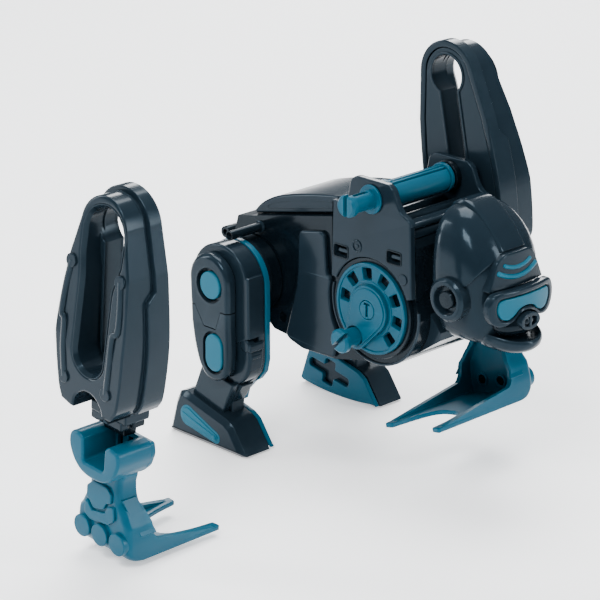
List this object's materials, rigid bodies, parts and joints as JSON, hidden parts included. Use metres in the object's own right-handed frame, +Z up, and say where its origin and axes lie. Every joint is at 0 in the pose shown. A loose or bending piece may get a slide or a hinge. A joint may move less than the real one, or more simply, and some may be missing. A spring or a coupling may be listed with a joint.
{
  "type": "walking robot gorilla toy",
  "caption": "Crank-driven walking robot gorilla kit toy with a geared torso, hind legs, a fitted front arm and one front arm standing taken off.",
  "frame": {"origin": "on the floor plane, under the drive axle, in the torso's middle plane", "axes": "+X forwards to the head, +Y to the toy's left, +Z up"},
  "size_m": [0.184, 0.2356, 0.1916],
  "materials": {
    "teal_plastic": "glossy moulded teal plastic",
    "drive_teal": "glossy moulded teal plastic",
    "teal_trim": "glossy light teal plastic",
    "cell_sleeve": "printed cell sleeve, plain",
    "steel": "turned steel",
    "plated_steel": "plated sheet steel",
    "gear_plastic": "natural acetal",
    "black_plastic": "glossy near-black blue plastic",
    "dark_plastic": "glossy dark blue-grey plastic"
  },
  "bodies": {
    "torso": {"trunk_right": "black_plastic", "trunk_left": "black_plastic", "side_plate_right": "dark_plastic", "side_plate_left": "dark_plastic", "drum_ring_right": "black_plastic", "drum_ring_left": "black_plastic", "flank_panel_right": "dark_plastic", "flank_panel_left": "dark_plastic", "chest_block": "dark_plastic", "cross_bars": "dark_plastic", "upper_shaft": "drive_teal", "battery_cells": "cell_sleeve", "battery_contacts": "plated_steel", "motor": "plated_steel", "compound_pin": "steel", "body_screws": "plated_steel", "skull": "dark_plastic", "neck_pin": "black_plastic", "brow_plate": "dark_plastic", "brow_inlays": "teal_trim", "visor_frame": "dark_plastic", "visor_lens": "teal_trim", "snout": "black_plastic", "ear_rings": "dark_plastic", "ear_caps": "black_plastic", "jaw": "dark_plastic"},
    "cover": {"back_cover": "dark_plastic"},
    "switch": {"switch_slider": "black_plastic"},
    "crank": {"drive_axle": "steel", "crank_wheel_right": "drive_teal", "crank_wheel_left": "drive_teal", "crank_arm_right": "drive_teal", "crank_arm_left": "drive_teal", "axle_gear": "gear_plastic"},
    "compound": {"compound_gear": "gear_plastic"},
    "pinion": {"motor_pinion": "steel"},
    "leg_right": {"leg_inner_right": "teal_plastic", "leg_shell_right": "dark_plastic", "thigh_cover_right": "dark_plastic", "shin_cover_right": "dark_plastic", "leg_caps_right": "teal_trim"},
    "leg_left": {"leg_inner_left": "teal_plastic", "leg_shell_left": "dark_plastic", "thigh_cover_left": "dark_plastic", "shin_cover_left": "dark_plastic", "leg_caps_left": "teal_trim"},
    "arm_right": {"arm_outer_right": "dark_plastic", "arm_inner_right": "dark_plastic", "wrist_right": "black_plastic", "hand_right": "teal_plastic"},
    "arm_left": {"arm_outer_left": "dark_plastic", "arm_inner_left": "dark_plastic", "wrist_left": "black_plastic", "hand_left": "teal_plastic"}
  },
  "joints": [
    {"name": "crank_turn", "type": "hinge", "parent": "torso", "child": "crank", "pos_m": [0, 0, 0.0815], "axis": [0, 1, 0], "range_deg": [-66, 10]},
    {"name": "arm_left_swing", "type": "hinge", "parent": "crank", "child": "arm_left", "pos_m": [0.00768, 0.0319, 0.09588], "axis": [0, 1, 0], "range_deg": [-14.3, 93.9]},
    {"name": "compound_spin", "type": "hinge", "parent": "torso", "child": "compound", "pos_m": [-0.0184, 0.006, 0.0815], "axis": [0, 1, 0], "range_deg": [-36.1, 237.7]},
    {"name": "pinion_spin", "type": "hinge", "parent": "torso", "child": "pinion", "pos_m": [-0.0344, 0.002, 0.0815], "axis": [0, 1, 0], "range_deg": [-950.5, 144.1]},
    {"name": "arm_right_pull", "type": "slide", "parent": "torso", "child": "arm_right", "axis": [0, 1, 0], "range_m": [0, 0.112]},
    {"name": "hip_right", "type": "hinge", "parent": "torso", "child": "leg_right", "pos_m": [-0.077, -0.028, 0.079], "axis": [0, 1, 0], "range_deg": [-8, 8]},
    {"name": "hip_left", "type": "hinge", "parent": "torso", "child": "leg_left", "pos_m": [-0.077, 0.028, 0.079], "axis": [0, 1, 0], "range_deg": [-8, 8]},
    {"name": "cover_open", "type": "hinge", "parent": "torso", "child": "cover", "pos_m": [-0.1, 0, 0.0925], "axis": [0, -1, 0], "range_deg": [0, 95]},
    {"name": "switch_slide", "type": "slide", "parent": "torso", "child": "switch", "axis": [1, 0, 0], "range_m": [0, 0.004]}
  ],
  "couplings": [
    {"joint": "arm_left_swing", "follows": "crank_turn", "ratio": -1.4214},
    {"joint": "compound_spin", "follows": "crank_turn", "ratio": -3.6},
    {"joint": "pinion_spin", "follows": "crank_turn", "ratio": 14.4}
  ]
}
